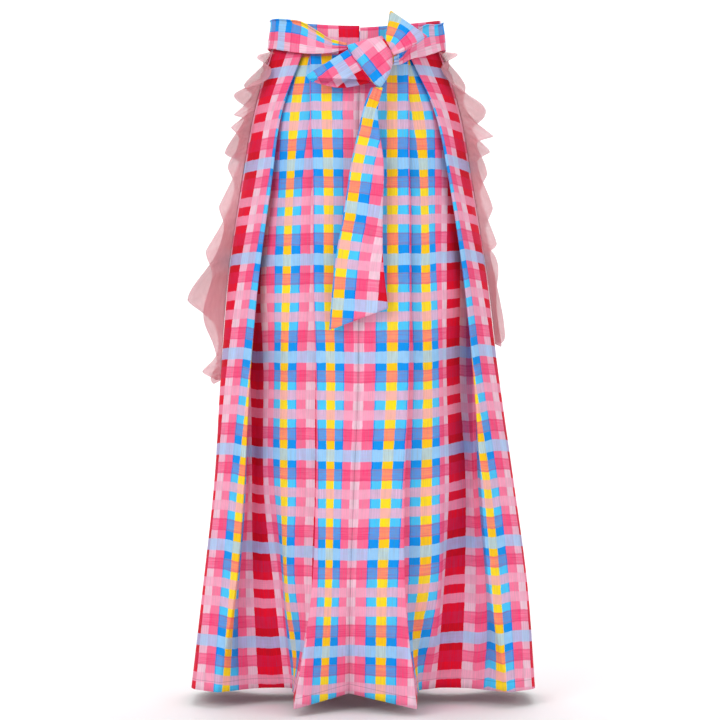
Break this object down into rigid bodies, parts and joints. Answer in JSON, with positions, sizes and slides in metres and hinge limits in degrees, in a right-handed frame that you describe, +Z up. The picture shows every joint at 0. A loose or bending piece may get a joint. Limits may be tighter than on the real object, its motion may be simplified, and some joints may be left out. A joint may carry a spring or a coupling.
{
  "type": "maxi skirt",
  "caption": "Ankle-length flared skirt in painterly check cloth with inverted box pleats, a waist sash tied in a bow at the front and net ruffles down both side seams.",
  "frame": {"origin": "middle of the waist opening, half way up the waistband at the sides, where the wearer's waist holds the skirt", "axes": "+Z up the wearer, -Y towards the front with the bow, +X towards the wearer's left, which is the right of the picture"},
  "size_m": [0.5015, 0.3107, 0.9726],
  "materials": {
    "check_cloth": "woven cotton, printed check",
    "sash_cloth": "woven cotton, printed check",
    "net": "soft net, matt"
  },
  "bodies": {
    "root": {"front_left": "check_cloth", "front_right": "check_cloth", "back": "check_cloth", "waistband": "check_cloth", "sash_band": "sash_cloth", "sash_knot": "sash_cloth", "sash_loop_right": "sash_cloth", "sash_loop_left": "sash_cloth", "sash_tail_front": "sash_cloth", "sash_tail_back": "sash_cloth", "ruffle_left": "net", "ruffle_right": "net"}
  },
  "joints": []
}
